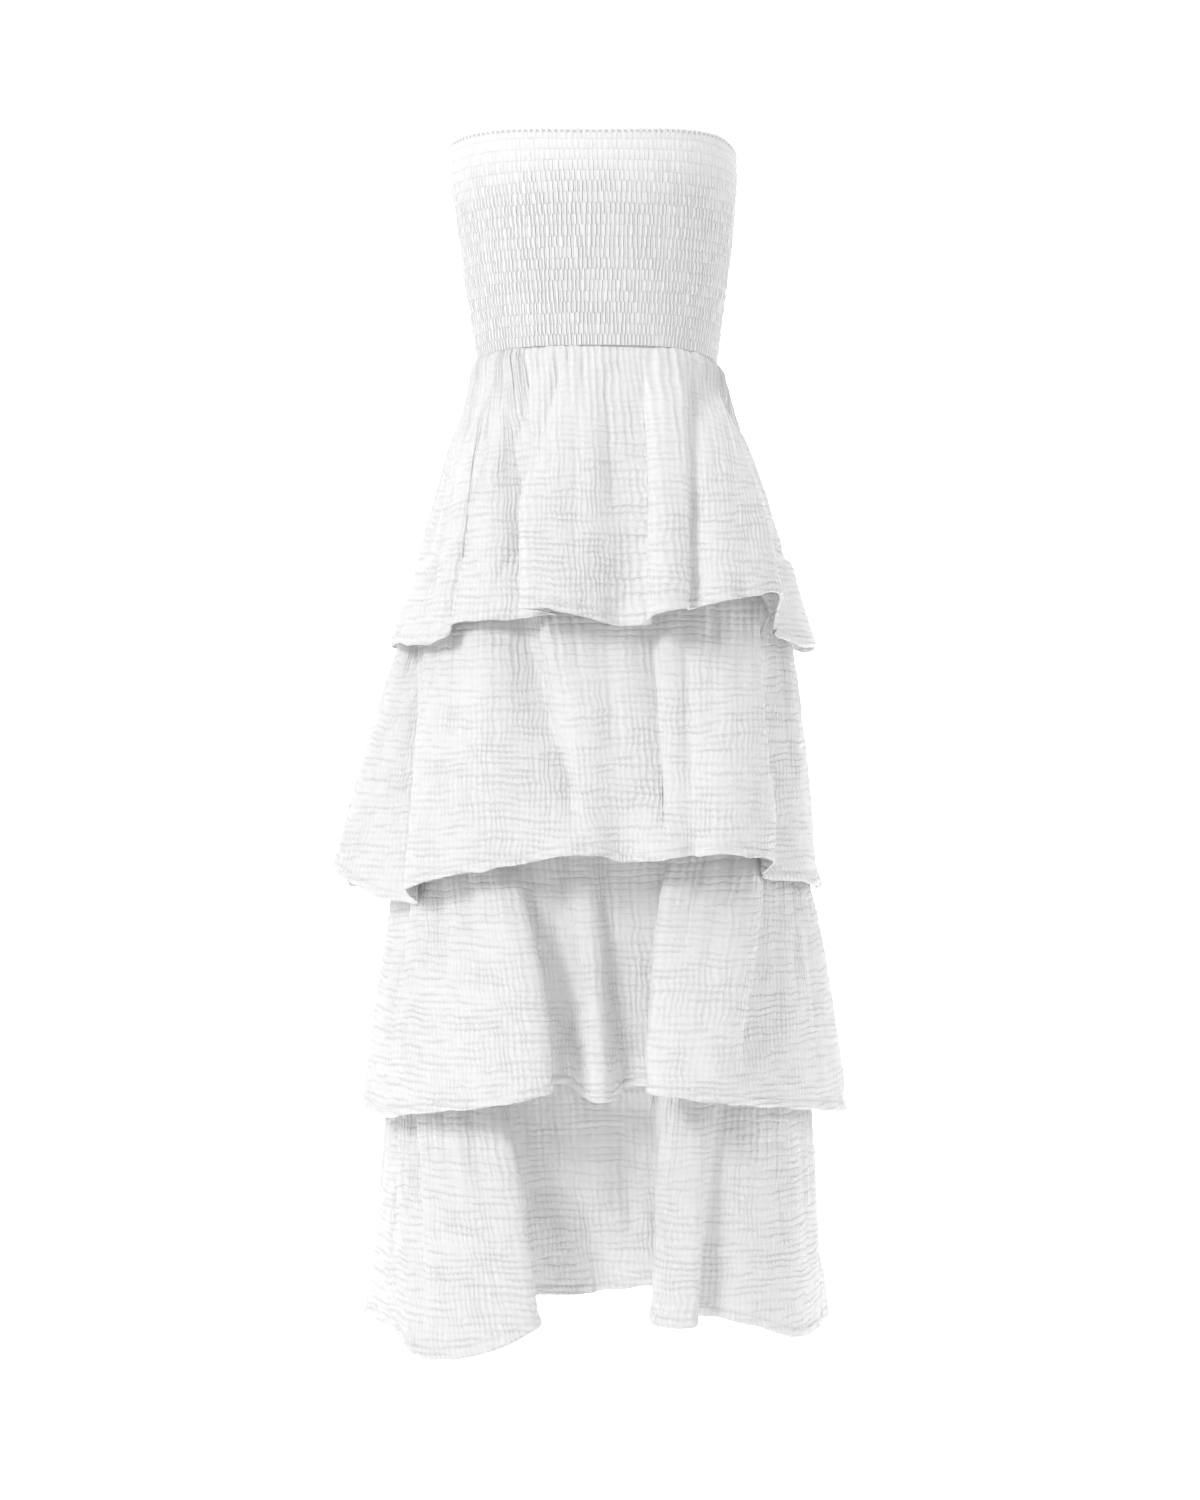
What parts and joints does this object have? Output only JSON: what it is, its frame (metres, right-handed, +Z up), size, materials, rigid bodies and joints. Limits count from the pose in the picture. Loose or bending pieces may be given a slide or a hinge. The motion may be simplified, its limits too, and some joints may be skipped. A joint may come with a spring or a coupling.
{
  "type": "strapless tiered maxi dress",
  "caption": "Strapless maxi dress worn hollow: a shirred tube bodice over a skirt of overlapping gathered tiers with narrow turned hems.",
  "frame": {"origin": "the middle of the bodice at the bust line, 50 mm below the top edge, where the wearer holds the dress up", "axes": "+Z up from the hem to the top edge, front of the dress towards -Y, the wearer's left towards +X"},
  "size_m": [0.5067, 0.4199, 1.1825],
  "materials": {
    "shirred_gauze": "matte white cotton double gauze, shirred with rows of elastic thread",
    "tier_gauze": "matte white crinkled cotton double gauze",
    "underskirt_cotton": "matte white plain cotton"
  },
  "bodies": {
    "root": {"bodice_front": "shirred_gauze", "bodice_back": "shirred_gauze", "underskirt_front": "underskirt_cotton", "underskirt_back": "underskirt_cotton", "tier_1_front": "tier_gauze", "tier_1_back": "tier_gauze", "tier_2_front": "tier_gauze", "tier_2_back": "tier_gauze", "tier_3_front": "tier_gauze", "tier_3_back": "tier_gauze", "tier_4_front": "tier_gauze", "tier_4_back": "tier_gauze"}
  },
  "joints": []
}
